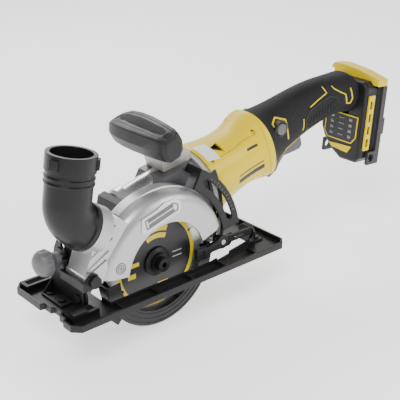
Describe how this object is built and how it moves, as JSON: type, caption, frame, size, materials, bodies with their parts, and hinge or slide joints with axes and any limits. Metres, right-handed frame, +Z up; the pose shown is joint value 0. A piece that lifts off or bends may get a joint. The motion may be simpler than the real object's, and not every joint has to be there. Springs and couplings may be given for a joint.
{
  "type": "circular saw",
  "caption": "Compact battery circular saw with yellow motor body, black grips, guarded toothed blade, slotted depth arc, dust elbow and flat shoe, shown without its battery.",
  "frame": {"origin": "on the underside of the shoe, straight below the point where the blade axis crosses the blade", "axes": "+Z up; -X towards the front of the saw; the blade lies in the XZ plane, its open face to -Y"},
  "size_m": [0.4303, 0.1025, 0.1937],
  "materials": {
    "shoe_steel": "satin",
    "dark_steel": "satin",
    "zinc": "satin",
    "guard_cast": "matte",
    "case_cast": "matte",
    "stalk_cast": "matte",
    "bright_steel": "polished",
    "blade_paint": "satin",
    "yellow": "satin",
    "black_rubber": "matte",
    "charcoal": "matte",
    "grey_plastic": "satin",
    "pale_plastic": "satin",
    "copper": "satin",
    "magnet": "matte",
    "leads": "satin"
  },
  "bodies": {
    "shoe": {"shoe": "shoe_steel", "front_stand": "dark_steel", "rear_stand": "dark_steel", "bevel_pins": "dark_steel", "shoe_rivets": "dark_steel", "bevel_bolt": "zinc"},
    "bevel_knob": {"bevel_knob": "grey_plastic"},
    "tilt_frame": {"tilt_front": "dark_steel", "tilt_rear": "dark_steel", "depth_quadrant": "dark_steel", "depth_pin": "dark_steel"},
    "saw": {"upper_guard": "guard_cast", "guard_badge": "guard_cast", "guard_screws": "dark_steel", "gear_case": "case_cast", "neck_ring": "pale_plastic", "nose_tube": "bright_steel", "nose_fairing": "case_cast", "arc_bracket": "dark_steel", "depth_bolt": "zinc", "motor_bearings": "bright_steel", "motor_can": "zinc", "motor_magnets": "magnet", "housing_left": "yellow", "housing_right": "yellow", "housing_screws": "dark_steel", "label_plate": "pale_plastic", "grip_left": "black_rubber", "grip_right": "black_rubber", "lock_surround": "yellow", "trigger_pin": "bright_steel", "switch": "charcoal", "leads": "leads", "foot_shell": "charcoal", "foot_cap": "yellow", "foot_trim": "yellow", "foot_label": "grey_plastic", "battery_rails": "charcoal", "terminal_block": "charcoal", "contacts": "copper", "hand_rest": "black_rubber", "handle_stalk": "stalk_cast"},
    "depth_lever": {"depth_lever": "charcoal"},
    "blade_set": {"spindle": "bright_steel", "inner_flange": "dark_steel", "outer_flange": "dark_steel", "blade_bolt": "dark_steel", "blade": "blade_paint", "spindle_gear": "bright_steel"},
    "layshaft": {"layshaft": "bright_steel", "bevel_gear": "bright_steel"},
    "rotor": {"rotor_shaft": "bright_steel", "bevel_pinion": "bright_steel", "armature": "copper", "fan": "charcoal"},
    "lower_guard": {"lower_guard": "dark_steel"},
    "dust_elbow": {"dust_elbow": "charcoal"},
    "trigger": {"trigger": "grey_plastic"},
    "lock_button": {"lock_button": "grey_plastic"},
    "spindle_lock": {"spindle_lock": "grey_plastic"}
  },
  "joints": [
    {"name": "bevel_hinge", "type": "hinge", "parent": "shoe", "child": "tilt_frame", "pos_m": [0, 0, 0.012], "axis": [1, 0, 0], "range_deg": [0, 45]},
    {"name": "depth_hinge", "type": "hinge", "parent": "tilt_frame", "child": "saw", "pos_m": [-0.083, 0, 0.0363], "axis": [0, -1, 0], "range_deg": [0, 23]},
    {"name": "rotor_spin", "type": "hinge", "parent": "saw", "child": "rotor", "pos_m": [-0.00738, 0.031, 0.04703], "axis": [0.9659, 0, 0.2588], "continuous": true},
    {"name": "blade_spin", "type": "hinge", "parent": "saw", "child": "blade_set", "pos_m": [0, 0, 0.0195], "axis": [0, 1, 0], "continuous": true},
    {"name": "layshaft_spin", "type": "hinge", "parent": "saw", "child": "layshaft", "pos_m": [-0.00738, 0, 0.04703], "axis": [0, 1, 0], "continuous": true},
    {"name": "lower_guard_swing", "type": "hinge", "parent": "saw", "child": "lower_guard", "pos_m": [0, 0, 0.0195], "axis": [0, -1, 0], "range_deg": [0, 150], "stiffness_Nm_per_rad": 0.05, "springref_deg": -68.75},
    {"name": "depth_lever_turn", "type": "hinge", "parent": "saw", "child": "depth_lever", "pos_m": [0.0712, -0.0115, 0.0201], "axis": [0, -1, 0], "range_deg": [0, 18]},
    {"name": "bevel_knob_turn", "type": "hinge", "parent": "shoe", "child": "bevel_knob", "pos_m": [-0.1015, 0.023, 0.0433], "axis": [1, 0, 0], "range_deg": [0, 180]},
    {"name": "trigger_pull", "type": "hinge", "parent": "saw", "child": "trigger", "pos_m": [0.16421, 0.031, 0.0635], "axis": [0, -1, 0], "range_deg": [0, 3.5], "stiffness_Nm_per_rad": 0.6, "springref_deg": -6.88},
    {"name": "lock_button_push", "type": "slide", "parent": "saw", "child": "lock_button", "axis": [0, 1, 0], "range_m": [0, 0.003], "stiffness_N_per_m": 300, "springref_m": -0.002},
    {"name": "spindle_lock_push", "type": "slide", "parent": "saw", "child": "spindle_lock", "axis": [0, -1, 0], "range_m": [0, 0.0026], "stiffness_N_per_m": 300, "springref_m": -0.002},
    {"name": "elbow_turn", "type": "hinge", "parent": "saw", "child": "dust_elbow", "pos_m": [-0.0762, 0, 0.0782], "axis": [-0.8421, 0, 0.5393], "range_deg": [-60, 60]}
  ],
  "couplings": [
    {"joint": "blade_spin", "follows": "rotor_spin", "ratio": -0.35},
    {"joint": "layshaft_spin", "follows": "rotor_spin", "ratio": 0.35}
  ]
}
